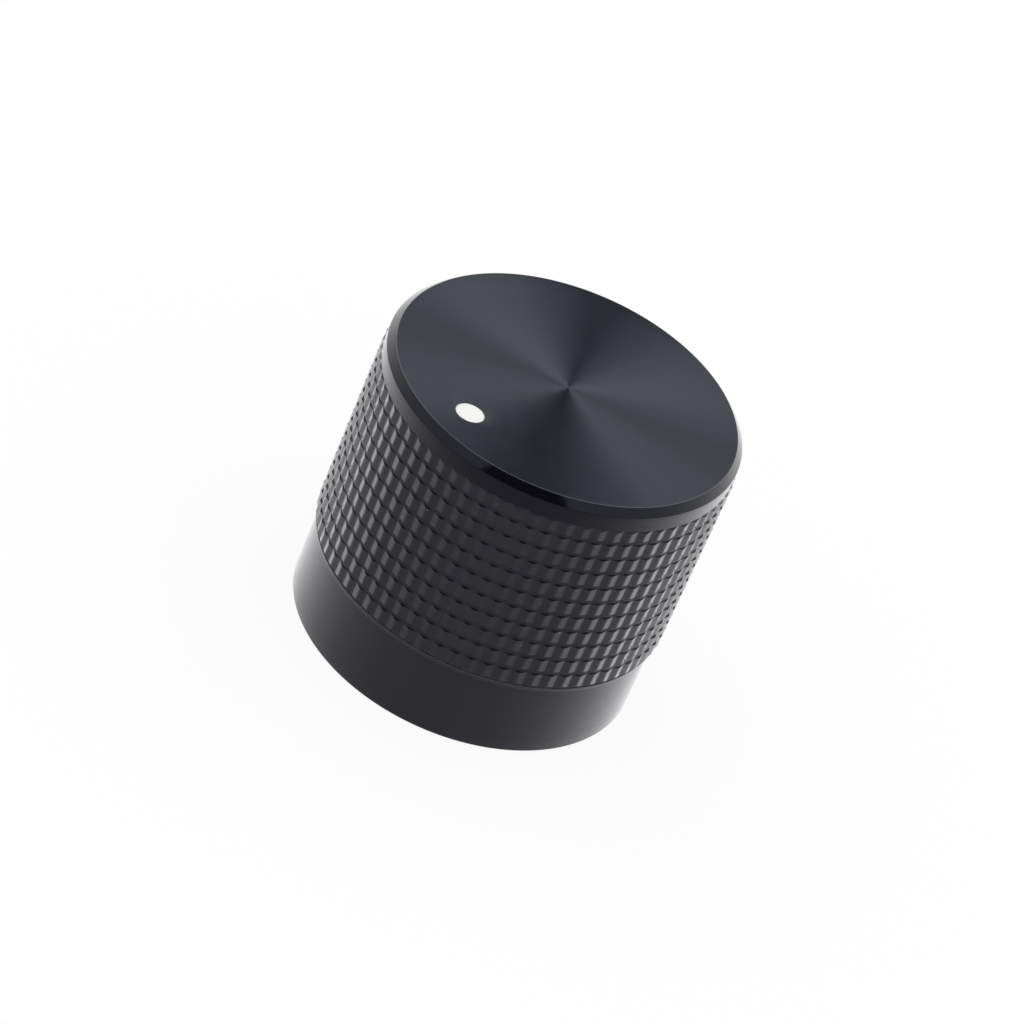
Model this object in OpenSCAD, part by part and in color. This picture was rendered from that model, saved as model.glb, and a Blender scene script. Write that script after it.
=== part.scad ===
// Round control knob turned from one piece of solid aluminium, with a white
// pointer dot let into its face. The grip is a square-grid knurl: straight
// grooves along the axis crossed by turned rings. The knob pushes onto a round
// shaft and a set screw in the collar, opposite the dot, locks it there.
// The origin is at the centre of the underside, +Z runs up the shaft's axis
// and the dot points towards -Y.

/* [Knob] */
// Overall height, from the underside to the face
knob_h = 21.4; // [18:0.1:30]
// Diameter over the crests of the knurl
knob_d = 25; // [22:0.1:40]
// Height of the plain collar below the knurl
collar_h = 5.7; // [5:0.1:8]
// How far the collar lies inside the bottom of the knurl's grooves
collar_inset = 0.24; // [0.05:0.01:1]
// Height of the plain rim between the knurl and the chamfer
rim_h = 1.15; // [0.5:0.05:3]
// How far the rim lies inside the bottom of the knurl's grooves
rim_inset = 0.02; // [0.01:0.01:0.5]
// Size of the 45 degree chamfer round the face
face_chamfer = 0.5; // [0.2:0.05:1.5]
// Size of the broken edge round the underside
base_break = 0.1; // [0.05:0.05:0.4]

/* [Knurl] */
// Number of straight grooves round the grip
tooth_count = 70; // [30:1:100]
// Depth of the straight grooves below the crests
tooth_depth = 0.11; // [0.08:0.01:0.2]
// Spacing of the turned rings along the axis
ring_pitch = 1.27; // [0.9:0.01:3]
// Width of a turned ring where it crosses a crest
ring_w = 0.24; // [0.1:0.01:0.4]
// Depth of the turned rings below the crests
ring_depth = 0.1; // [0.05:0.01:0.2]
// Height of the plain lip under the lowest ring
lip_h = 0.2; // [0.1:0.01:0.5]
// How far the lowest ring is cut below the lip
undercut = 0.07; // [0.05:0.01:0.15]

/* [Shaft bore] */
// Diameter of the bore, a close fit on a 6 mm shaft
bore_d = 6.1; // [4:0.05:8]
// Length of the bore above the nut recess
bore_depth = 13; // [8:0.5:14]
// Size of the chamfer at the mouth of the bore
bore_chamfer = 0.4; // [0.1:0.1:0.8]
// Included angle of the drill point at the bore's end
drill_angle = 118; // [90:1:140]
// Diameter of the recess that clears the panel nut
nut_recess_d = 16; // [12:0.5:18]
// Depth of the recess that clears the panel nut
nut_recess_depth = 2; // [1:0.1:2.5]

/* [Set screw] */
// Thread diameter of the set screw
screw_d = 3; // [2:0.5:3]
// Gap that the backed-out screw leaves to the bore's wall
screw_back_off = 0.2; // [0.1:0.1:1]
// How far the screw's outer end lies inside the collar
screw_sink = 2.9; // [1:0.1:4]
// Radial clearance between the screw and its hole
screw_clear = 0.05; // [0.02:0.01:0.1]
// Width across flats of the hexagon socket
hex_af = 1.5; // [0.9:0.1:1.5]
// Depth of the hexagon socket
hex_depth = 1.6; // [1:0.1:2]
// Chamfer at both ends of the set screw
screw_chamfer = 0.3; // [0.1:0.1:0.5]

/* [Pointer dot] */
// Diameter of the white dot
dot_d = 2; // [1:0.1:4]
// Depth of the pocket that the dot fills
dot_pocket_depth = 0.4; // [0.2:0.05:1]
// How far the dot's surface lies below the face
dot_sink = 0.04; // [0.02:0.01:0.1]
// Gap from the dot to the edge of the flat face
dot_edge_gap = 2; // [0.5:0.1:6]

/* [Hidden] */
$fn = 180;
black_anodised = [0.10, 0.10, 0.11];
black_oxide = [0.16, 0.16, 0.17];
dot_white = [0.96, 0.96, 0.95];
cut = 1;  // how far a cutting solid runs past what it cuts

crest_r = knob_d / 2;
trough_r = crest_r - tooth_depth;
rim_r = trough_r - rim_inset;
lip_r = rim_r;
collar_r = trough_r - collar_inset;
face_r = rim_r - face_chamfer;
grip_top = knob_h - face_chamfer - rim_h;
lip_top = collar_h + lip_h;

// The rings are V grooves. Their flanks run on to blank_r, outside the
// crests, so that the bar's own grooves alone shape the crests.
blank_r = crest_r + ring_depth;
ring_r = crest_r - ring_depth;
undercut_r = lip_r - undercut;
flank_run = ring_w / 2 / ring_depth;  // travel along the axis for each unit of radius
ring_half_w = (blank_r - ring_r) * flank_run;
top_bevel_h = (blank_r - rim_r) * flank_run;
lowest_ring = lip_top + undercut * flank_run;
ring_room = grip_top - top_bevel_h - ring_half_w - lowest_ring;
ring_count = floor(ring_room / ring_pitch);

bore_floor = nut_recess_depth;
bore_top = bore_floor + bore_depth;
screw_z = (nut_recess_depth + collar_h) / 2;
screw_tip = bore_d / 2 + screw_back_off;
screw_len = collar_r - screw_sink - screw_tip;
dot_y = -(face_r - dot_edge_gap - dot_d / 2);

// One turned ring of the grip at height z
function ring_points(z) = [
    [blank_r, z - ring_half_w],
    [ring_r, z],
    [blank_r, z + ring_half_w],
];

// Grip of the blank from the undercut below it to the bevel that meets the rim
function grip_points() = concat(
    [[undercut_r, lowest_ring], [blank_r, lowest_ring + (blank_r - undercut_r) * flank_run]],
    [for (i = [1:ring_count]) each ring_points(lowest_ring + i * ring_pitch)],
    [[blank_r, grip_top - top_bevel_h], [rim_r, grip_top]]
);

// Knob as turned all round, before its straight grooves
module turned_blank() {
    rotate_extrude()
        polygon(concat(
            [[0, 0], [collar_r - base_break, 0], [collar_r, base_break], [collar_r, collar_h]],
            [[lip_r, collar_h], [lip_r, lip_top]],
            grip_points(),
            [[rim_r, knob_h - face_chamfer], [face_r, knob_h], [0, knob_h]]
        ));
}

// Bar with straight V grooves all round, as long as the knob is high
module grooved_bar() {
    half_step = 180 / tooth_count;
    translate([0, 0, -cut])
        linear_extrude(knob_h + 2 * cut)
            polygon([
                for (i = [0:2 * tooth_count - 1])
                    let (r = i % 2 == 0 ? crest_r : trough_r, a = i * half_step)
                    [r * sin(a), -r * cos(a)]
            ]);
}

// Nut recess, bore and drill point as one revolved cutter
module shaft_cutter() {
    bore_r = bore_d / 2;
    point_h = bore_r / tan(drill_angle / 2);
    rotate_extrude()
        polygon([
            [0, -cut],
            [nut_recess_d / 2, -cut],
            [nut_recess_d / 2, bore_floor],
            [bore_r + bore_chamfer, bore_floor],
            [bore_r, bore_floor + bore_chamfer],
            [bore_r, bore_top],
            [0, bore_top + point_h],
        ]);
}

// Radial hole towards +Y, from the bore's axis out through the collar
module screw_hole() {
    translate([0, 0, screw_z])
        rotate([-90, 0, 0])
            cylinder(d = screw_d + 2 * screw_clear, h = collar_r + cut);
}

module dot_pocket() {
    translate([0, dot_y, knob_h - dot_pocket_depth])
        cylinder(d = dot_d, h = dot_pocket_depth + cut);
}

module body() {
    color(black_anodised)
        difference() {
            intersection() {
                turned_blank();
                grooved_bar();
            }
            shaft_cutter();
            screw_hole();
            dot_pocket();
        }
}

// White filling of the pocket, flush to its wall and floor
module pointer_dot() {
    color(dot_white)
        translate([0, dot_y, knob_h - dot_pocket_depth])
            cylinder(d = dot_d, h = dot_pocket_depth - dot_sink);
}

// Headless screw with a hexagon socket at its outer end
module set_screw() {
    r = screw_d / 2;
    color(black_oxide)
        translate([0, screw_tip, screw_z])
            rotate([-90, 0, 0])
                difference() {
                    rotate_extrude()
                        polygon([
                            [0, 0],
                            [r - screw_chamfer, 0],
                            [r, screw_chamfer],
                            [r, screw_len - screw_chamfer],
                            [r - screw_chamfer, screw_len],
                            [0, screw_len],
                        ]);
                    translate([0, 0, screw_len - hex_depth])
                        cylinder(d = hex_af / cos(30), h = hex_depth + cut, $fn = 6);
                }
}

body();
pointer_dot();
set_screw();
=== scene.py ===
"""Looks of a round control knob: black anodised aluminium with a square-grid knurl and a white dot.

The knob's body, its pointer dot and its set screw are surfaces of revolution worked out on grids.
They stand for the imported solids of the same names, and a plain white studio lights them.
"""

import logging
import math
from collections.abc import Sequence
from dataclasses import dataclass, field
from enum import Enum
from typing import Any

import bpy
import numpy as np
from mathutils import Matrix, Vector


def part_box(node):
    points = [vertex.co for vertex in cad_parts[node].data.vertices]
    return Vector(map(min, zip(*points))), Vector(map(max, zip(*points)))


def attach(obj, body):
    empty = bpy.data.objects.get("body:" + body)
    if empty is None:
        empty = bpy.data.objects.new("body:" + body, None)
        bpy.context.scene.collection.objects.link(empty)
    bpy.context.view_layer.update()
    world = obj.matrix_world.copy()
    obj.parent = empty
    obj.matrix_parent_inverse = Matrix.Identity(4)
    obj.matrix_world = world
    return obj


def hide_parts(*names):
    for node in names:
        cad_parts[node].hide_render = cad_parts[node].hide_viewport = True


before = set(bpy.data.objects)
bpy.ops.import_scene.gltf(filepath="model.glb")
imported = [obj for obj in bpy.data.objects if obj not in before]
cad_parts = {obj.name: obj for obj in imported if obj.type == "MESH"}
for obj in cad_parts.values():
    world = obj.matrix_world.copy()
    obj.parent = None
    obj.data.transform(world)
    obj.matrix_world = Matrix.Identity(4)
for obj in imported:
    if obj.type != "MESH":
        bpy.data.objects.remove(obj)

log = logging.getLogger("knob")

MM = 0.001
BODY = "root"
NOISE_MIDDLE = 0.5
QUARTER_TURN = 0.25

Array = np.ndarray
Colour = tuple[float, float, float, float]


class Slot(Enum):
    """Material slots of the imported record."""

    ANODISED = "black_anodised"
    PAINT = "white_paint"
    STEEL = "black_oxide_steel"


class Lay(Enum):
    """Which way the fine marks of a cutting tool run."""

    SPUN = "circles on a face, so that the marks tilt the surface along the radius"
    TURNED = "circles round a side, so that the marks tilt the surface along the axis"


class Band(Enum):
    """Bands of the turned body, in the order of its material slots."""

    FACE = 0
    # The thin rounded edges get a lighter colour, a painted highlight.
    EDGE = 1
    CHAMFER = 2
    RIM = 3
    GRIP = 4
    # The ring walls and the bevels at the grip's ends get a lighter colour than the grip, painted
    # light that makes up for the groove's shade.
    WALL = 5
    FLOOR = 6
    # The lower floor and wall of a ring under the crests get a darker colour, painted shade in the
    # groove.
    DEEP_PAINTED_SHADE = 7
    COLLAR = 8
    INSIDE = 9


class Value:
    """A number output of a node, on which arithmetic adds Math nodes."""

    def __init__(self, tree: "Tree", socket: bpy.types.NodeSocket) -> None:
        """Wraps a socket.

        Args:
            tree: the node tree that holds the socket.
            socket: the output that carries the number.
        """
        self.tree = tree
        self.socket = socket

    def _math(self, operation: str, *terms: "Value | float") -> "Value":
        """Adds a Math node.

        Args:
            operation: the node's operation.
            terms: its inputs in order.

        Returns:
            The node's output.
        """
        return self.tree.value("ShaderNodeMath", {"operation": operation}, dict(enumerate(terms)))

    def __add__(self, other: "Value | float") -> "Value":
        """Sum."""
        return self._math("ADD", self, other)

    __radd__ = __add__

    def __sub__(self, other: "Value | float") -> "Value":
        """Difference."""
        return self._math("SUBTRACT", self, other)

    def __rsub__(self, other: "Value | float") -> "Value":
        """Difference from a number."""
        return self._math("SUBTRACT", other, self)

    def __mul__(self, other: "Value | float") -> "Value":
        """Product."""
        return self._math("MULTIPLY", self, other)

    __rmul__ = __mul__

    def __pow__(self, other: "Value | float") -> "Value":
        """Power."""
        return self._math("POWER", self, other)

    def __rpow__(self, other: "Value | float") -> "Value":
        """Power of a number."""
        return self._math("POWER", other, self)

    def clamped(self) -> "Value":
        """The number held between 0 and 1."""
        return self._math("MINIMUM", self._math("MAXIMUM", self, 0.0), 1.0)


class Tree:
    """A material's node tree, filled through one method for any node."""

    def __init__(self, name: str) -> None:
        """Makes an empty material.

        Args:
            name: the material's name.
        """
        self.material = bpy.data.materials.new(name)
        self.material.use_nodes = True
        self.nodes = self.material.node_tree.nodes
        self.links = self.material.node_tree.links
        self.nodes.clear()

    def node(
        self,
        kind: str,
        settings: dict[str, Any] | None = None,
        inputs: dict[Any, Any] | None = None,
    ) -> bpy.types.Node:
        """Adds a node, sets its options, and then its inputs.

        Args:
            kind: the node's type.
            settings: its properties by name.
            inputs: values, sockets or Values by the name or number of the input.

        Returns:
            The node.
        """
        made = self.nodes.new(kind)
        for name, value in (settings or {}).items():
            setattr(made, name, value)
        for name, value in (inputs or {}).items():
            source = value.socket if isinstance(value, Value) else value
            if isinstance(source, bpy.types.NodeSocket):
                self.links.new(source, made.inputs[name])
            else:
                made.inputs[name].default_value = source
        return made

    def value(
        self, kind: str, settings: dict[str, Any], inputs: dict[Any, Any], output: str | int = 0
    ) -> Value:
        """Adds a node and wraps one of its outputs.

        Args:
            kind: the node's type.
            settings: its properties by name.
            inputs: its inputs, as for node.
            output: the name or number of the output.

        Returns:
            The output as a Value.
        """
        return Value(self, self.node(kind, settings, inputs).outputs[output])

    def vector(self, operation: str, *terms: Any, scale: Value | float | None = None) -> Any:
        """Adds a Vector Math node.

        Args:
            operation: the node's operation.
            terms: its vector inputs in order.
            scale: the number that a scaling multiplies by.

        Returns:
            The socket of the vector that comes out.
        """
        inputs = dict(enumerate(terms))
        if scale is not None:
            inputs["Scale"] = scale
        return self.node("ShaderNodeVectorMath", {"operation": operation}, inputs).outputs["Vector"]

    def noise(self, where: Any, scale: float, detail: float = 2.0) -> Value:
        """Adds a noise over a place in space.

        Args:
            where: the socket of the place.
            scale: how many features lie along a metre.
            detail: how many finer layers are added.

        Returns:
            The noise, about 0.5 on average.
        """
        return self.value(
            "ShaderNodeTexNoise", {}, {"Vector": where, "Scale": scale, "Detail": detail}
        )

    def finish(self, shader: bpy.types.Node) -> bpy.types.Material:
        """Connects the shader to the material's output.

        Args:
            shader: the node whose first output is shown.

        Returns:
            The material.
        """
        self.node("ShaderNodeOutputMaterial", {}, {"Surface": shader.outputs[0]})
        return self.material


@dataclass(frozen=True)
class Anodised:
    """Black anodised aluminium as a cutting tool left it.

    The dyed oxide mirrors little head on, and its glare grows towards grazing angles faster than
    a plain lacquer's. It is mixed from the dark oxide and the bare metal's bright sheen, whose
    share is a power of how far the surface turns away. Where handling has rubbed the oxide, small
    specks of the metal show.
    """

    name: str
    lay: Lay
    colour: Colour = (0.0105, 0.0098, 0.012, 1.0)
    tint: Colour = (0.96, 0.93, 1.0, 1.0)
    roughness: float = 0.3
    roughness_spread: float = 0.06
    ior: float = 1.21
    spread_out: float = 0.0
    glare: bool = True
    glare_power: float = 3.1
    glare_roughness: float = 0.2
    sheen: Colour = (0.985, 0.96, 1.0, 1.0)
    mark_pitch: float = 0.05 * MM
    mark_tilt: float = 0.04
    mark_lean: float = 0.0
    mottle_size: float = 1.6 * MM
    rubbed: float = 0.0
    speck_size: float = 0.16 * MM
    speck_from: float = 0.87
    speck_gain: float = 12.0

    def material(self) -> bpy.types.Material:
        """The finish as a material.

        Returns:
            A material whose normal follows the tool marks.
        """
        tree = Tree(self.name)
        place = tree.node("ShaderNodeTexCoord").outputs["Object"]
        axes = tree.node("ShaderNodeSeparateXYZ", {}, {0: place}).outputs
        mottle = tree.noise(place, 1 / self.mottle_size) - NOISE_MIDDLE
        normal = self._marked_normal(tree, place, axes)
        oxide = {
            "Base Color": self.colour,
            "Specular Tint": self.tint,
            "IOR": self.ior,
            "Roughness": self.roughness + self.roughness_spread * mottle,
            "Anisotropic": self.spread_out,
            "Anisotropic Rotation": QUARTER_TURN,
            "Normal": normal,
        }
        shader = tree.node("ShaderNodeBsdfPrincipled", {}, oxide)
        if self.glare:
            sheen = {
                "Base Color": self.sheen,
                "Metallic": 1.0,
                "Roughness": self.glare_roughness + self.roughness_spread * mottle,
                "Normal": normal,
            }
            metal = tree.node("ShaderNodeBsdfPrincipled", {}, sheen)
            # At a blend of a half, facing is 1 less the cosine of the angle to the eye.
            facing = tree.value("ShaderNodeLayerWeight", {}, {"Blend": 0.5}, "Facing")
            share = facing**self.glare_power
            if self.rubbed:
                noise = tree.noise(place, 1 / self.speck_size, 0.0)
                specks = ((noise - self.speck_from) * self.speck_gain).clamped()
                share = share + specks * self.rubbed
            mixed = {0: share, 1: shader.outputs[0], 2: metal.outputs[0]}
            shader = tree.node("ShaderNodeMixShader", {}, mixed)
        return tree.finish(shader)

    def _marked_normal(self, tree: Tree, place: Any, axes: Any) -> Any:
        """The surface's normal, tilted by the tool marks.

        The tilt is a fine noise along the direction that the tool was fed in, so it is the same
        all round the knob: along the radius on a spun face, along the axis on a turned side. The
        marks of a tool that leans as it is fed tilt one way more than the other.

        Args:
            tree: the material's tree.
            place: the socket of the place on the piece.
            axes: the sockets of that place's x, y and z.

        Returns:
            The socket of the normal.
        """
        level = tree.node("ShaderNodeCombineXYZ", {}, {0: axes[0], 1: axes[1]}).outputs[0]
        if self.lay is Lay.SPUN:
            feed = tree.value("ShaderNodeVectorMath", {"operation": "LENGTH"}, {0: level}, "Value")
            across = tree.vector("NORMALIZE", level)
        else:
            feed = Value(tree, axes[2])
            across = tree.node("ShaderNodeCombineXYZ", {}, {2: 1.0}).outputs[0]
        marks = tree.value(
            "ShaderNodeTexNoise",
            {"noise_dimensions": "1D"},
            {"W": feed, "Scale": 1 / self.mark_pitch, "Detail": 1.0},
        )
        lean = (marks - NOISE_MIDDLE) * (2 * self.mark_tilt) + self.mark_lean
        tilt = tree.vector("SCALE", across, scale=lean)
        surface = tree.node("ShaderNodeNewGeometry").outputs["Normal"]
        return tree.vector("NORMALIZE", tree.vector("ADD", surface, tilt))


@dataclass(frozen=True)
class DotPaint:
    """White filling paint, slightly grained and a little dull."""

    colour: Colour = (0.93, 0.93, 0.91, 1.0)
    shade: Colour = (0.84, 0.84, 0.82, 1.0)
    shade_from: float = 0.35
    roughness: float = 0.45
    roughness_spread: float = 0.1
    grain: float = 0.12 * MM
    grain_height: float = 0.004 * MM

    def material(self) -> bpy.types.Material:
        """The finish as a material.

        Returns:
            A Principled material with a fine grain.
        """
        tree = Tree("white_dot_paint")
        place = tree.node("ShaderNodeTexCoord").outputs["Object"]
        grain = tree.noise(place, 1 / self.grain, 3.0)
        colour = tree.node(
            "ShaderNodeMix",
            {"data_type": "RGBA"},
            {"Factor": (grain - self.shade_from).clamped(), 6: self.colour, 7: self.shade},
        ).outputs[2]
        bump = tree.node("ShaderNodeBump", {}, {"Height": grain, "Distance": self.grain_height})
        inputs = {
            "Base Color": colour,
            "Roughness": self.roughness + self.roughness_spread * (grain - NOISE_MIDDLE),
            "Normal": bump.outputs[0],
        }
        return tree.finish(tree.node("ShaderNodeBsdfPrincipled", {}, inputs))


@dataclass(frozen=True)
class BlackOxide:
    """Steel with a thin black oxide and a trace of oil, lighter and duller in random patches."""

    colour: Colour = (0.030, 0.030, 0.032, 1.0)
    worn: Colour = (0.075, 0.073, 0.070, 1.0)
    worn_from: float = 0.4
    worn_gain: float = 2.0
    metallic: float = 0.6
    roughness: float = 0.36
    roughness_spread: float = 0.25
    patch: float = 0.5 * MM

    def material(self) -> bpy.types.Material:
        """The finish as a material.

        Returns:
            A Principled material with patches of thinner oxide.
        """
        tree = Tree("black_oxide")
        place = tree.node("ShaderNodeTexCoord").outputs["Object"]
        patches = tree.noise(place, 1 / self.patch, 5.0)
        share = ((patches - self.worn_from) * self.worn_gain).clamped()
        colour = tree.node(
            "ShaderNodeMix",
            {"data_type": "RGBA"},
            {"Factor": share, 6: self.colour, 7: self.worn},
        ).outputs[2]
        inputs = {
            "Base Color": colour,
            "Metallic": self.metallic,
            "Roughness": self.roughness + self.roughness_spread * (patches - NOISE_MIDDLE),
        }
        return tree.finish(tree.node("ShaderNodeBsdfPrincipled", {}, inputs))


@dataclass(frozen=True)
class Paper:
    """Pale floor paper. To the camera and in mirrors it shows nearly as bright as the tent."""

    colour: Colour = (0.93, 0.93, 0.93, 1.0)
    roughness: float = 0.8
    roughness_spread: float = 0.1
    grain_density: float = 60.0
    fill: float = 0.9

    def material(self) -> bpy.types.Material:
        """The finish as a material.

        Returns:
            A dull material that glows on the rays that see it.
        """
        tree = Tree("pale_floor")
        place = tree.node("ShaderNodeTexCoord").outputs["Object"]
        grain = tree.noise(place, self.grain_density)
        inputs = {
            "Base Color": self.colour,
            "Roughness": self.roughness + self.roughness_spread * (grain - NOISE_MIDDLE),
        }
        paper = tree.node("ShaderNodeBsdfPrincipled", {}, inputs)
        white = tree.node("ShaderNodeEmission")
        ray = tree.node("ShaderNodeLightPath").outputs
        seen = (
            Value(tree, ray["Is Camera Ray"])
            + Value(tree, ray["Is Glossy Ray"])
            + Value(tree, ray["Is Transmission Ray"])
        )
        mixed = {0: seen * self.fill, 1: paper.outputs[0], 2: white.outputs[0]}
        return tree.finish(tree.node("ShaderNodeMixShader", {}, mixed))


@dataclass(frozen=True)
class Cloth:
    """Dull black cloth."""

    colour: Colour = (0.01, 0.01, 0.01, 1.0)

    def material(self) -> bpy.types.Material:
        """The finish as a material."""
        tree = Tree("black_cloth")
        return tree.finish(tree.node("ShaderNodeBsdfDiffuse", {}, {"Color": self.colour}))


@dataclass(frozen=True)
class Glow:
    """An even white light, as a soft box or a lit card gives."""

    name: str
    strength: float

    def material(self) -> bpy.types.Material:
        """The finish as a material."""
        tree = Tree(self.name)
        return tree.finish(tree.node("ShaderNodeEmission", {}, {"Strength": self.strength}))


@dataclass(frozen=True)
class Grid:
    """A closed surface of stacked rings, with a pole at each end.

    x, y and z hold one row for each ring and one column for each step round it. Seen along the
    way in which the rings follow each other, the steps go anticlockwise, so the faces look
    outward. The first and last rings are shrunk to a point, and each becomes one vertex that a
    fan of triangles joins. band has the same rows, with one column or as many, and gives the
    material of the faces from each point on.
    """

    x: Array
    y: Array
    z: Array
    band: Array

    def mesh(self, name: str) -> bpy.types.Mesh:
        """Builds the mesh.

        Args:
            name: the mesh's name.

        Returns:
            A mesh with smooth faces, each with its band as material index.
        """
        rows, columns = self.x.shape
        rings = np.stack([self.x, self.y, self.z], -1)
        points = np.concatenate([rings[:1, 0], rings[1:-1].reshape(-1, 3), rings[-1:, 0]])
        across = np.arange(columns)
        after = (across + 1) % columns
        first = 1 + columns * np.arange(rows - 3)[:, None]
        quads = np.stack(
            [first + across, first + columns + across, first + columns + after, first + after], -1
        ).reshape(-1, 4)
        last = len(points) - 1
        top = np.stack([np.zeros_like(across), 1 + across, 1 + after], -1)
        end = last - columns
        bottom = np.stack([end + across, np.full_like(across, last), end + after], -1)
        made = bpy.data.meshes.new(name)
        made.from_pydata(points, [], [*quads.tolist(), *top.tolist(), *bottom.tolist()])
        band = np.broadcast_to(self.band.reshape(rows, -1), (rows, columns))
        index = np.concatenate([band[1:-2].ravel(), band[0], band[-2]])
        made.polygons.foreach_set("material_index", index.astype(np.int32))
        made.polygons.foreach_set("use_smooth", np.ones(len(index), bool))
        made.update()
        return made


def arc(r: float, z: float, before: Array, after: Array, radius: float, steps: int) -> Array:
    """Rounds a corner of an outline.

    The arc touches both sides of the corner at the same distance from it, which is the radius
    times the tangent of half the turn, and its points lie at equal angles in between.

    Args:
        r: the corner's distance from the axis.
        z: the corner's height.
        before: unit direction from the corner to the point before it.
        after: unit direction from the corner to the point after it.
        radius: the arc's radius.
        steps: into how many pieces the arc is cut.

    Returns:
        One row of r and z for each point.
    """
    half = math.acos(float(np.clip(before @ after, -1, 1))) / 2
    inner = (before + after) / np.linalg.norm(before + after)
    centre = np.array([r, z]) + inner * radius / math.sin(half)
    start = before * radius / math.tan(half) - inner * radius / math.sin(half)
    end = after * radius / math.tan(half) - inner * radius / math.sin(half)
    turn = math.pi - 2 * half
    share = np.linspace(0, 1, steps + 1)[:, None]
    swung = (np.sin((1 - share) * turn) * start + np.sin(share * turn) * end) / math.sin(turn)
    return centre + swung


@dataclass(frozen=True)
class Corner:
    """A corner of the outline, from which the surface runs on to the next one.

    band is the material from here on, and edge that of a rounded corner's arc where it has one of
    its own. aside is how far the ring's centre lies from the knob's axis towards the dot's, and
    cuts is into how many rows the surface up to the next corner is cut.
    """

    r: float
    z: float
    band: Band
    round: float = 0.0
    edge: Band | None = None
    aside: float = 0.0
    cuts: int = 1


def outline(corners: Sequence[Corner], steps: int = 4) -> tuple[Array, Array, Array, Array]:
    """Turns corners into the points of a rounded outline.

    Args:
        corners: the corners in order, the first and last on the axis of their rings.
        steps: pieces of each rounded corner.

    Returns:
        Radius, height, share of the way from the knob's axis to the dot's, and band, with an
        entry for each point.
    """
    points: list[Array] = []
    for i, corner in enumerate(corners):
        here = np.array([[corner.r, corner.z]])
        if corner.round:
            sides = [np.array([corners[j].r, corners[j].z]) - here[0] for j in (i - 1, i + 1)]
            before, after = (side / np.linalg.norm(side) for side in sides)
            here = arc(corner.r, corner.z, before, after, corner.round, steps)
        band = np.full(len(here), (corner.edge or corner.band).value)
        band[-1] = corner.band.value
        points.append(np.column_stack([here, np.full(len(here), corner.aside), band]))
    rows: list[Array] = []
    for i, corner in enumerate(corners):
        rows.append(points[i])
        if i + 1 < len(corners) and corner.cuts > 1:
            share = np.arange(1, corner.cuts)[:, None] / corner.cuts
            between = points[i][-1] + share * (points[i + 1][0] - points[i][-1])
            between[:, 3] = corner.band.value
            rows.append(between)
    stacked = np.concatenate(rows)
    return stacked[:, 0], stacked[:, 1], stacked[:, 2], stacked[:, 3].astype(int)


@dataclass(frozen=True)
class Thread:
    """An ISO metric thread as a ripple on a rod."""

    major_r: float
    pitch: float = 0.5 * MM
    depth: float = 0.27 * MM
    crest: float = 0.14
    root: float = 0.2

    def radius(self, turn: Array, along: Array) -> Array:
        """Radius of the threaded surface.

        The distance along the rod, less the part of a pitch that the angle takes up, gives where
        a point lies between two crests. From there the flank falls in a straight line, cut off
        flat at the crest and at the root.

        Args:
            turn: angle round the rod, in turns.
            along: distance along the rod.

        Returns:
            The radius for each angle and distance.
        """
        phase = (along / self.pitch - turn) % 1.0
        from_crest = np.minimum(phase, 1 - phase) * 2
        fall = np.clip((from_crest - self.crest) / (1 - self.crest - self.root), 0, 1)
        return self.major_r - self.depth * fall


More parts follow.
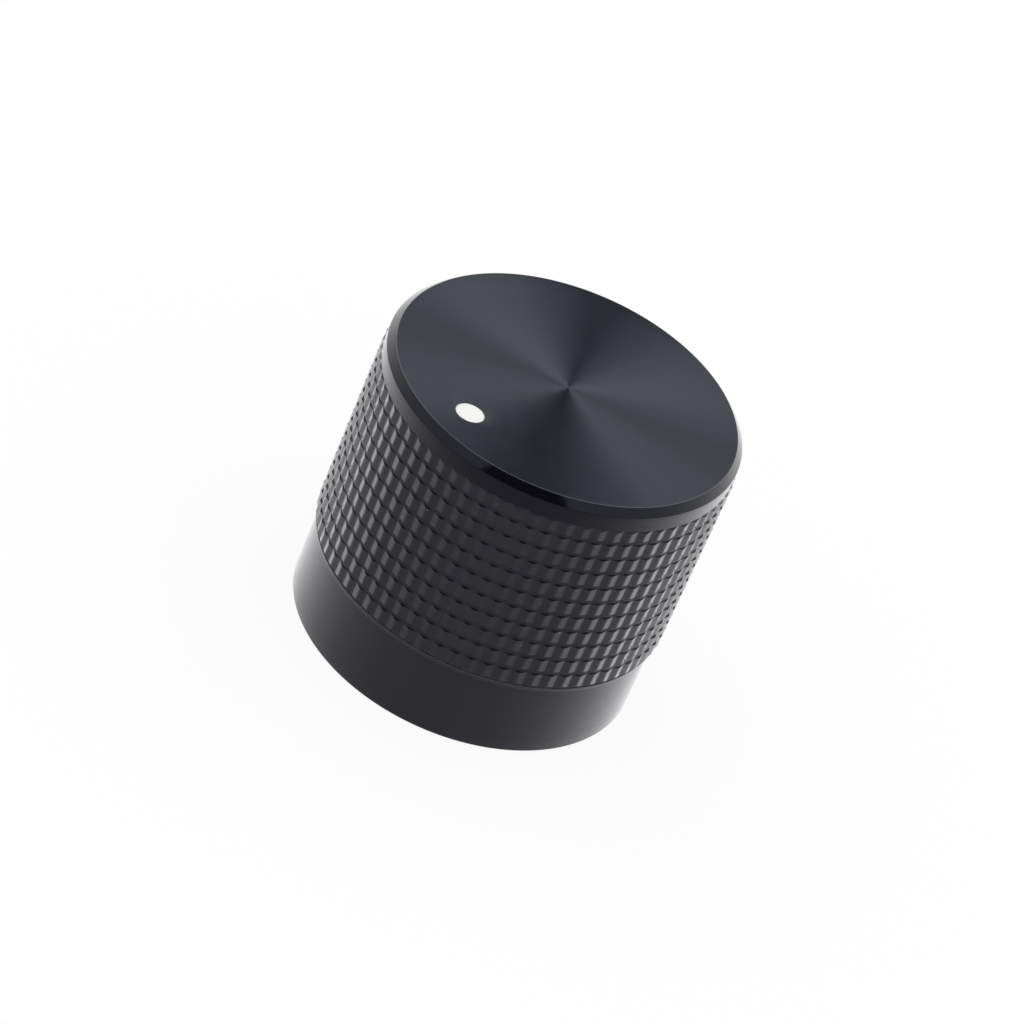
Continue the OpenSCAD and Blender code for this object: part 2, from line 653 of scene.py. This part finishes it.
@dataclass
class TurnedBody:
    """The body: one solid turned from bar, knurled, bored from below and pocketed for the dot."""

    tooth_count: int = 70
    tooth_depth: float = 0.135 * MM
    tooth_turn: float = 0.05
    crest_land: float = 0.03
    dash_end: float = 0.4
    flank_end: float = 0.9
    ring_count: int = 10
    ring_pitch: float = 1.27 * MM
    first_ring: float = 1.305 * MM
    ring_depth: float = 0.13 * MM
    ring_floor_w: float = 0.28 * MM
    ring_slope: float = 0.06 * MM
    ring_least: float = 0.01 * MM
    # Where the straight groove is shallower than this share of the tooth's depth, near the crests,
    # the ring's lower part takes the darker band of painted shade.
    deep_share: float = 0.3
    bevel_run: float = 1.2
    rim_h: float = 1.15 * MM
    rim_inset: float = 0.13 * MM
    face_chamfer: float = 0.5 * MM
    face_round: float = 0.05 * MM
    collar_h: float = 5.7 * MM
    collar_inset: float = 0.35 * MM
    collar_round: float = 0.08 * MM
    step_round: float = 0.02 * MM
    lip_h: float = 0.2 * MM
    lip_round: float = 0.04 * MM
    undercut: float = 0.07 * MM
    base_break: float = 0.1 * MM
    base_round: float = 0.04 * MM
    pocket_depth: float = 0.4 * MM
    pocket_round: float = 0.03 * MM
    recess_r: float = 8.0 * MM
    recess_depth: float = 2.0 * MM
    recess_round: float = 0.06 * MM
    bore_r: float = 3.05 * MM
    bore_depth: float = 13.0 * MM
    bore_chamfer: float = 0.4 * MM
    bore_round: float = 0.05 * MM
    mouth_round: float = 0.03 * MM
    drill_angle: float = 118.0
    hole_r: float = 1.55 * MM
    hole_break: float = 0.15 * MM
    hole_from: float = 0.3
    hole_past: float = 0.6 * MM
    hole_rows: int = 230
    hole_columns: int = 48
    height: float = field(init=False)
    crest_r: float = field(init=False)
    rim_r: float = field(init=False)
    under_r: float = field(init=False)
    collar_r: float = field(init=False)
    grip_top: float = field(init=False)
    grip_low: float = field(init=False)
    dot_r: float = field(init=False)
    dot_y: float = field(init=False)
    hole_z: float = field(init=False)

    def __post_init__(self) -> None:
        """Takes the overall sizes and the places of the dot and the screw from the frame."""
        low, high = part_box("body")
        self.height = high.z
        self.crest_r = (high.y - low.y) / 2
        self.rim_r = self.crest_r - self.rim_inset
        self.under_r = self.rim_r - self.undercut
        self.collar_r = self.crest_r - self.collar_inset
        self.grip_top = self.height - self.face_chamfer - self.rim_h
        self.grip_low = self.collar_h + self.lip_h + self.undercut * self.bevel_run
        low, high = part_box("pointer_dot")
        self.dot_r = (high.x - low.x) / 2
        self.dot_y = (high.y + low.y) / 2
        low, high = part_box("set_screw")
        self.hole_z = (high.z + low.z) / 2

    def tooth_depths(self) -> tuple[Array, Array]:
        """Angles of the columns, and how deep the straight grooves are there.

        Each tooth has eight columns. A narrow land of the turned bar is left on its crest, the
        flanks fall straight from there, and a parabola rounds the trough off.

        Returns:
            The angle of each column from the dot's side, and its depth below the crests.
        """
        start, end = self.crest_land, self.flank_end
        marks = np.array([start, self.dash_end, end])
        across = np.concatenate([[0.0], marks, [1.0], 2 - marks[::-1]])
        tooth = np.arange(self.tooth_count)[:, None] + self.tooth_turn
        turn = (tooth + across / 2).ravel() / self.tooth_count
        t = np.tile(np.minimum(across, 2 - across), self.tooth_count)
        bend = np.clip(t - end, 0, None)
        fall = np.clip(t - start, 0, None) - bend**2 / (2 * (1 - end))
        return 2 * np.pi * turn, self.tooth_depth * fall / ((1 + end) / 2 - start)

    def ring_rows(self, height: float, depth: Array) -> tuple[Array, Array]:
        """Rows of one turned ring, from its upper edge down to its lower one.

        The ring is a flat floor between sloping walls. The walls end where they meet the bar, so
        the ring is widest on the crests and has its least depth in the troughs. A row along the
        middle of the floor is where the dashes of painted shade start.

        Args:
            height: height of the ring's middle.
            depth: depth of the straight groove at each column.

        Returns:
            Radius and height, with one line for each row.
        """
        bar = self.crest_r - depth
        bottom = np.minimum(bar - self.ring_least, self.crest_r - self.ring_depth)
        floor = self.ring_floor_w / 2 * np.ones_like(depth)
        edge = floor + self.ring_slope * (bar - bottom) / self.ring_depth
        middle = np.zeros_like(depth)
        return (
            np.stack([bar, bottom, bottom, bottom, bar]),
            height + np.stack([edge, floor, middle, -floor, -edge]),
        )

    def grip_rows(self, depth: Array) -> tuple[Array, Array, Array]:
        """Rows of the grip from its top bevel down to the undercut.

        Args:
            depth: depth of the straight groove at each column.

        Returns:
            Radius, height and band, with a row for each ring of points. Under the crests, where
            a ring is cut deepest, the lower part of its floor and wall is a band of its own,
            coloured darker as painted shade. The walls are a band coloured lighter, as painted
            light.
        """
        bar = self.crest_r - depth
        steps = self.ring_pitch * np.arange(self.ring_count)[::-1]
        rings = [self.ring_rows(self.grip_low + self.first_ring + step, depth) for step in steps]
        radii = np.array([bar, *np.concatenate([r for r, z in rings]), bar])
        heights = np.array([
            self.grip_top - np.maximum(bar - self.rim_r, 0) * self.bevel_run,
            *np.concatenate([z for r, z in rings]),
            self.grip_low + (bar - self.under_r) * self.bevel_run,
        ])
        plain = np.ones_like(depth)
        # The wall band is coloured lighter than the grip, painted light that makes up for the
        # groove's shade.
        grip, wall, floor = (band.value * plain for band in (Band.GRIP, Band.WALL, Band.FLOOR))
        # Near the crests the ring's lower floor and wall take the deep band, coloured darker:
        # painted shade.
        deepest = (depth + np.roll(depth, -1)) / 2 < self.deep_share * self.tooth_depth
        dashes = [np.where(deepest, Band.DEEP_PAINTED_SHADE.value, band) for band in (floor, wall)]
        bands = np.array([grip, *[wall, floor, *dashes, grip] * self.ring_count, wall])
        return radii, heights, bands

    def grid(self) -> Grid:
        """The whole surface as one stack of rings.

        The rings start at the centre of the dot's pocket and end at the tip of the bore. Each is
        a circle of some radius and height. On the face their centre glides from the dot's axis to
        the knob's, as their radius grows from the pocket's to the face's.

        Returns:
            The grid of the body.
        """
        angle, depth = self.tooth_depths()
        height, rim_r, collar_r, collar_h = self.height, self.rim_r, self.collar_r, self.collar_h
        face_r = rim_r - self.face_chamfer
        floor = height - self.pocket_depth
        bore_top = self.recess_depth + self.bore_depth
        point_h = self.bore_r / math.tan(math.radians(self.drill_angle / 2))
        mouth_r = self.bore_r + self.bore_chamfer
        mouth_top = self.recess_depth + self.bore_chamfer
        upper = outline([
            Corner(0.0, floor, Band.INSIDE, aside=1.0),
            Corner(self.dot_r, floor, Band.INSIDE, aside=1.0),
            Corner(self.dot_r, height, Band.FACE, round=self.pocket_round, aside=1.0, cuts=14),
            # The arc into the chamfer takes the edge band, whose light colour is a painted
            # highlight.
            Corner(face_r, height, Band.CHAMFER, round=self.face_round, edge=Band.EDGE, cuts=2),
            Corner(rim_r, height - self.face_chamfer, Band.RIM, round=self.face_round, cuts=4),
            # The bevel down to the grip takes the wall band, coloured lighter as painted light.
            Corner(rim_r, self.grip_top, Band.WALL),
        ])
        lower = outline([
            # The bevel up from the undercut takes the wall band, coloured lighter as painted light.
            Corner(self.under_r, self.grip_low, Band.WALL),
            # The lip's rounded edge takes the edge band, whose light colour is a painted highlight.
            Corner(rim_r, collar_h + self.lip_h, Band.GRIP, round=self.lip_round, edge=Band.EDGE),
            Corner(rim_r, collar_h, Band.COLLAR, round=self.step_round),
            Corner(collar_r, collar_h, Band.COLLAR, cuts=6),
            Corner(collar_r, self.base_break, Band.COLLAR, round=self.collar_round),
            Corner(collar_r - self.base_break, 0.0, Band.INSIDE, round=self.base_round, cuts=3),
            Corner(self.recess_r, 0.0, Band.INSIDE, round=self.recess_round, cuts=3),
            Corner(self.recess_r, self.recess_depth, Band.INSIDE, cuts=3),
            Corner(mouth_r, self.recess_depth, Band.INSIDE, round=self.mouth_round),
            Corner(self.bore_r, mouth_top, Band.INSIDE, round=self.bore_round, cuts=6),
            Corner(self.bore_r, bore_top, Band.INSIDE, cuts=2),
            Corner(0.0, bore_top + point_h, Band.INSIDE),
        ])
        grip_r, grip_z, grip_band = self.grip_rows(depth)
        grip = (grip_r, grip_z, np.zeros_like(grip_r), grip_band)
        spread = np.ones_like(angle)
        r, z, aside, band = (
            np.concatenate([above[:, None] * spread, rows, below[:, None] * spread])
            for above, rows, below in zip(upper, grip, lower)
        )
        return Grid(r * np.sin(angle), aside * self.dot_y - r * np.cos(angle), z, band)

    def screw_hole(self) -> bpy.types.Object:
        """Cutter for the threaded hole, from inside the bore out past the collar towards +Y.

        Its radius is the thread's, and near the collar a cone that opens the hole's mouth.

        Returns:
            A closed threaded rod, not part of the knob.
        """
        start, stop = self.hole_from * self.bore_r, self.collar_r + self.hole_past
        along = np.linspace(start, stop, self.hole_rows)[:, None]
        turn = np.arange(self.hole_columns) / self.hole_columns
        thread = Thread(self.hole_r).radius(turn, along)
        mouth = self.hole_r + self.hole_break - (self.collar_r - along)
        r = np.maximum(thread, np.minimum(mouth, self.hole_r + self.hole_break))
        ends = np.zeros((1, len(turn)))
        r = np.concatenate([ends, r, ends])
        along = np.concatenate([along[:1], along, along[-1:]]) * np.ones_like(turn)
        x = r * np.cos(2 * np.pi * turn)
        z = self.hole_z + r * np.sin(2 * np.pi * turn)
        band = np.full(len(r), Band.INSIDE.value)
        mesh = Grid(x, along, z, band).mesh("hole_cutter")
        cutter = bpy.data.objects.new("hole_cutter", mesh)
        bpy.context.scene.collection.objects.link(cutter)
        return cutter

    def build(self) -> bpy.types.Object:
        """Builds and dresses the body.

        Returns:
            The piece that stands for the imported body.
        """
        piece = bpy.data.objects.new("turned_body", self.grid().mesh("turned_body"))
        bpy.context.scene.collection.objects.link(piece)
        for finish in self.finishes():
            piece.data.materials.append(finish.material())
        cutter = self.screw_hole()
        cut = piece.modifiers.new("screw_hole", "BOOLEAN")
        cut.operation, cut.solver, cut.object = "DIFFERENCE", "MANIFOLD", cutter
        bake_modifiers(piece)
        bpy.data.objects.remove(cutter)
        settle(piece, "body", sharp_deg=32.0)
        return piece

    @staticmethod
    def finishes() -> list[Anodised]:
        """Finishes of the bands, in the order of Band."""
        return [
            Anodised(
                "anodised_spun_face", Lay.SPUN, colour=(0.003, 0.0035, 0.005, 1.0),
                tint=(0.69, 0.76, 1.0, 1.0), roughness=0.29, ior=1.8, spread_out=0.92,
                glare=False, mark_tilt=0.05, mark_lean=-0.08, mark_pitch=0.03 * MM,
            ),
            # The edge's light grey colour is a painted highlight along the thin rounded edges.
            Anodised("anodised_edge_painted_highlight", Lay.SPUN, colour=(0.09, 0.095, 0.10, 1.0), roughness=0.4),
            Anodised(
                "anodised_chamfer", Lay.SPUN, colour=(0.003, 0.003, 0.005, 1.0),
                tint=(0.8, 0.87, 1.0, 1.0), roughness=0.11, ior=1.33, glare_power=3.5,
                glare_roughness=0.11, mark_tilt=0.02,
            ),
            Anodised(
                "anodised_rim", Lay.TURNED, colour=(0.0032, 0.0028, 0.0068, 1.0), ior=1.2,
                glare_power=3.5, mark_tilt=0.08,
            ),
            Anodised(
                "anodised_grip", Lay.TURNED, colour=(0.0165, 0.0153, 0.021, 1.0),
                roughness=0.22, glare_power=3.45, glare_roughness=0.16, rubbed=0.35,
            ),
            # The ring wall is coloured lighter than the grip: painted light that makes up for the
            # shade in the groove.
            Anodised(
                "anodised_ring_wall_painted_light", Lay.TURNED, colour=(0.022, 0.0205, 0.0275, 1.0),
                roughness=0.2, glare_power=4.0, mark_tilt=0.02,
            ),
            Anodised(
                "anodised_ring_floor", Lay.TURNED, colour=(0.0165, 0.0153, 0.021, 1.0),
                roughness=0.22, glare_power=5.6, glare_roughness=0.16,
            ),
            # The deep ring floor is coloured darker than the floor: painted shade in the groove
            # under the crests.
            Anodised(
                "anodised_ring_deep_painted_shade", Lay.TURNED, colour=(0.0105, 0.0097, 0.0138, 1.0),
                roughness=0.2, glare_power=4.3, mark_tilt=0.02,
            ),
            Anodised(
                "anodised_collar", Lay.TURNED, colour=(0.0165, 0.0155, 0.0208, 1.0),
                glare_power=3.85,
            ),
            Anodised(
                "anodised_inside", Lay.SPUN, roughness=0.4, mark_tilt=0.1, mark_pitch=0.1 * MM
            ),
        ]


@dataclass
class PointerDot:
    """White paint that fills the pocket in the face, crowned a little and low at its edge."""

    crown: float = 0.02 * MM
    edge_drop: float = 0.03 * MM
    edge_w: float = 0.12 * MM
    top_rows: int = 10
    edge_rows: int = 6
    columns: int = 96

    def build(self) -> bpy.types.Object:
        """Builds and dresses the dot.

        The top falls from the centre with the square of the radius, and over the edge's width a
        quarter circle takes it down to the pocket's wall.

        Returns:
            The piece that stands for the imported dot.
        """
        low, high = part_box("pointer_dot")
        radius = (high.x - low.x) / 2
        top = high.z
        inner = np.linspace(0, 1 - self.edge_w / radius, self.top_rows)
        bend = np.linspace(0, np.pi / 2, self.edge_rows + 1)[1:]
        edge = inner[-1] + np.sin(bend) * self.edge_w / radius
        share = np.concatenate([inner, edge])
        drop = self.crown * share**2
        drop[len(inner):] += self.edge_drop * (1 - np.cos(bend))
        r = np.concatenate([share * radius, [radius, 0.0]])[:, None]
        z = np.concatenate([top - drop, [low.z, low.z]])[:, None]
        angle = 2 * np.pi * np.arange(self.columns) / self.columns
        x = r * np.sin(angle)
        y = (low.y + high.y) / 2 - r * np.cos(angle)
        grid = Grid(x, y, z * np.ones_like(angle), np.zeros(len(r)))
        piece = bpy.data.objects.new("dot_paint", grid.mesh("dot_paint"))
        bpy.context.scene.collection.objects.link(piece)
        piece.data.materials.append(DotPaint().material())
        settle(piece, "pointer_dot", sharp_deg=50.0)
        return piece


@dataclass
class SetScrew:
    """Headless M3 screw with a hexagon socket at its outer end and a cupped tip."""

    flats: int = 6
    hex_af: float = 1.5 * MM
    hex_depth: float = 1.6 * MM
    hex_lead: float = 0.1 * MM
    tip_h: float = 0.35 * MM
    cone: float = 0.3 * MM
    cup_r: float = 0.75 * MM
    cup_depth: float = 0.3 * MM
    rows: int = 150
    columns: int = 96

    def build(self) -> bpy.types.Object:
        """Builds and dresses the screw.

        Its radius is the thread's, held under a cone at each end. The rings go on into the socket,
        where a round lead turns into a hexagon, whose radius is its half width over the cosine of
        the angle to the nearest flat's middle. The socket ends in the tip of the drill.

        Returns:
            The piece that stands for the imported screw.
        """
        low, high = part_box("set_screw")
        radius, length = (high.x - low.x) / 2, high.y - low.y
        turn = np.arange(self.columns) / self.columns
        along = np.linspace(0, length, self.rows)[:, None]
        cone_r = radius - self.cone + np.minimum(along, length - along)
        rod = np.minimum(Thread(radius).radius(turn, low.y + along), cone_r)
        to_flat = (turn * self.flats % 1.0 - 0.5) * 2 * np.pi / self.flats
        hexagon = self.hex_af / 2 / np.cos(to_flat)
        lead_r = self.hex_af / 2 / math.cos(math.pi / self.flats)
        depths = np.array([self.hex_lead, self.hex_depth / 2, self.hex_depth])
        flat = np.ones_like(turn)
        r = np.stack([
            0 * flat, self.cup_r / 2 * flat, self.cup_r * flat, *rod,
            lead_r * flat, *[hexagon] * len(depths), 0 * flat,
        ])
        y = np.stack([
            self.cup_depth * flat, self.cup_depth / 2 * flat, 0 * flat, *(along * flat),
            length * flat, *[(length - d) * flat for d in depths],
            (length - self.hex_depth - self.tip_h) * flat,
        ])
        x = r * np.cos(2 * np.pi * turn)
        z = (low.z + high.z) / 2 + r * np.sin(2 * np.pi * turn)
        grid = Grid(x, low.y + y, z, np.zeros(len(r)))
        piece = bpy.data.objects.new("grub_screw", grid.mesh("grub_screw"))
        bpy.context.scene.collection.objects.link(piece)
        piece.data.materials.append(BlackOxide().material())
        settle(piece, "set_screw", sharp_deg=35.0)
        return piece


def bake_modifiers(piece: bpy.types.Object) -> None:
    """Puts the result of a piece's modifiers into its mesh.

    Args:
        piece: the piece, whose modifiers are gone afterwards.
    """
    seen = piece.evaluated_get(bpy.context.evaluated_depsgraph_get())
    made = bpy.data.meshes.new_from_object(seen)
    made.name = piece.data.name
    piece.modifiers.clear()
    piece.data = made


def settle(piece: bpy.types.Object, node: str, sharp_deg: float) -> None:
    """Ties a piece to the frame and reports it.

    Args:
        piece: the piece.
        node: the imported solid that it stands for.
        sharp_deg: edges that turn more than this stay sharp.
    """
    piece.data.set_sharp_from_angle(angle=math.radians(sharp_deg))
    even = piece.modifiers.new("even_normals", "WEIGHTED_NORMAL")
    even.keep_sharp = True
    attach(piece, BODY)
    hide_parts(node)
    piece.data.calc_loop_triangles()
    log.info("%s stands for %s: %d triangles", piece.name, node, len(piece.data.loop_triangles))


@dataclass(frozen=True)
class Panel:
    """A patch of a sphere round the knob, hung in the tent.

    Its azimuths are where it starts and ends, from the camera's azimuth towards the right, and its
    elevations are its lower and upper edge, all in degrees.
    """

    name: str
    azimuths: tuple[float, float]
    elevations: tuple[float, float]
    steps: int = 24

    def mesh(self, azimuth: float, radius: float) -> bpy.types.Mesh:
        """Works out the patch.

        Args:
            azimuth: the camera's azimuth in degrees.
            radius: the sphere's radius.

        Returns:
            The mesh, still without a material.
        """
        turn = np.radians(azimuth + np.linspace(*self.azimuths, self.steps))
        rise = np.radians(np.linspace(*self.elevations, self.steps))[:, None]
        up = np.sin(rise) * np.ones_like(turn)
        out = np.cos(rise)
        points = radius * np.stack([out * np.sin(turn), -out * np.cos(turn), up], -1)
        across = np.arange(self.steps - 1)
        corner = (self.steps * across[:, None] + across).ravel()
        above = corner + self.steps
        data = bpy.data.meshes.new(self.name)
        quads = np.stack([corner, corner + 1, above + 1, above], -1)
        data.from_pydata(points.reshape(-1, 3), [], quads.tolist())
        data.update()
        return data


@dataclass
class Studio:
    """A white tent with dark flags before and behind, and the camera of the photograph.

    Angles are in degrees, and azimuths count from the knob's pointer towards +X. The camera's aim
    is the centre of the face, moved across and up the picture.
    """

    azimuth: float = 35.4
    elevation: float = 35.16
    roll: float = 23.74
    distance: float = 325.0 * MM
    focal_mm: float = 174.39
    sensor_mm: float = 36.0
    nearest: float = 0.01
    farthest: float = 50.0
    aim_right: float = 3.704 * MM
    aim_up: float = 8.153 * MM
    tent_strength: float = 1.08
    box_strength: float = 1.5
    card_strength: float = 0.5
    floor_r: float = 6.0
    floor_start: float = 0.02
    floor_thick: float = 0.01
    floor_rings: int = 14
    floor_columns: int = 64
    panel_r: float = 0.8

    def camera(self, height: float) -> None:
        """Makes the scene's camera.

        Its back points from the knob to the camera. Right and up are turned about it by the roll,
        and the place is the aim plus the distance along the back.

        Args:
            height: height of the knob's face.
        """
        a, e, roll = (math.radians(v) for v in (self.azimuth, self.elevation, self.roll))
        back = Vector((math.sin(a) * math.cos(e), -math.cos(a) * math.cos(e), math.sin(e)))
        level = Vector((math.cos(a), math.sin(a), 0.0))
        tall = back.cross(level)
        right = math.cos(roll) * level + math.sin(roll) * tall
        up = math.cos(roll) * tall - math.sin(roll) * level
        place = Vector((0, 0, height)) + self.distance * back
        place = place - self.aim_right * right - self.aim_up * up
        turned = Matrix((right, up, back)).transposed().to_4x4()
        data = bpy.data.cameras.new("photo_camera")
        data.lens, data.sensor_width = self.focal_mm, self.sensor_mm
        data.clip_start, data.clip_end = self.nearest, self.farthest
        made = bpy.data.objects.new("photo_camera", data)
        made.matrix_world = Matrix.Translation(place) @ turned
        bpy.context.scene.collection.objects.link(made)
        bpy.context.scene.camera = made

    def tent(self) -> None:
        """Makes the world a plain white that lights the knob evenly."""
        world = bpy.data.worlds.new("white_tent")
        world.use_nodes = True
        background = world.node_tree.nodes["Background"]
        background.inputs["Color"].default_value = (1.0, 1.0, 1.0, 1.0)
        background.inputs["Strength"].default_value = self.tent_strength
        bpy.context.scene.world = world

    @staticmethod
    def stage(mesh: bpy.types.Mesh, material: bpy.types.Material, seen: bool) -> None:
        """Puts a piece of the studio into the scene.

        Args:
            mesh: the piece's mesh, whose name it takes.
            material: what it is made of.
            seen: whether the camera sees it.
        """
        made = bpy.data.objects.new(mesh.name, mesh)
        bpy.context.scene.collection.objects.link(made)
        mesh.materials.append(material)
        made.visible_camera = seen
        log.info("%s stands in the studio", made.name)

    def floor(self) -> None:
        """Makes the pale floor that the knob stands on, a disc of rings worked out on a grid."""
        angle = 2 * np.pi * np.arange(self.floor_columns) / self.floor_columns
        r = np.geomspace(self.floor_start, self.floor_r, self.floor_rings)
        r = np.array([0.0, *r, r[-1] + self.floor_thick, 0.0])[:, None]
        z = np.zeros((len(r), len(angle)))
        z[-2:] = -self.floor_thick
        grid = Grid(r * np.sin(angle), -r * np.cos(angle), z, np.zeros(len(r)))
        self.stage(grid.mesh("floor"), Paper().material(), seen=True)

    def panels(self) -> None:
        """Hangs black cloths before and behind the knob, and a box over a card on each side."""
        cloth = Cloth().material()
        box = Glow("soft_box", self.box_strength).material()
        card = Glow("grey_card", self.card_strength).material()
        for panel, material in (
            (Panel("front_cloth", (-32.0, 32.0), (42.0, 68.0)), cloth),
            (Panel("back_cloth", (175.5, 184.5), (2.0, 76.0)), cloth),
            (Panel("left_box", (-174.0, -105.0), (40.0, 66.0)), box),
            (Panel("right_box", (105.0, 174.0), (40.0, 66.0)), box),
            (Panel("left_card", (-172.0, -145.0), (8.0, 36.0)), card),
            (Panel("right_card", (145.0, 172.0), (8.0, 36.0)), card),
        ):
            self.stage(panel.mesh(self.azimuth, self.panel_r), material, seen=False)

    def build(self, height: float) -> None:
        """Sets up the studio round the knob.

        Args:
            height: height of the knob's face.
        """
        self.camera(height)
        self.tent()
        self.floor()
        self.panels()
        bpy.context.scene.view_settings.view_transform = "Standard"
        log.info("studio ready, camera %.0f mm from the face", self.distance / MM)


def main() -> None:
    """Builds the knob and its studio."""
    logging.basicConfig(level=logging.INFO, format="%(name)s: %(message)s")
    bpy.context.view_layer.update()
    body = TurnedBody()
    body.build()
    PointerDot().build()
    SetScrew().build()
    Studio().build(body.height)


if __name__ == "__main__":
    main()
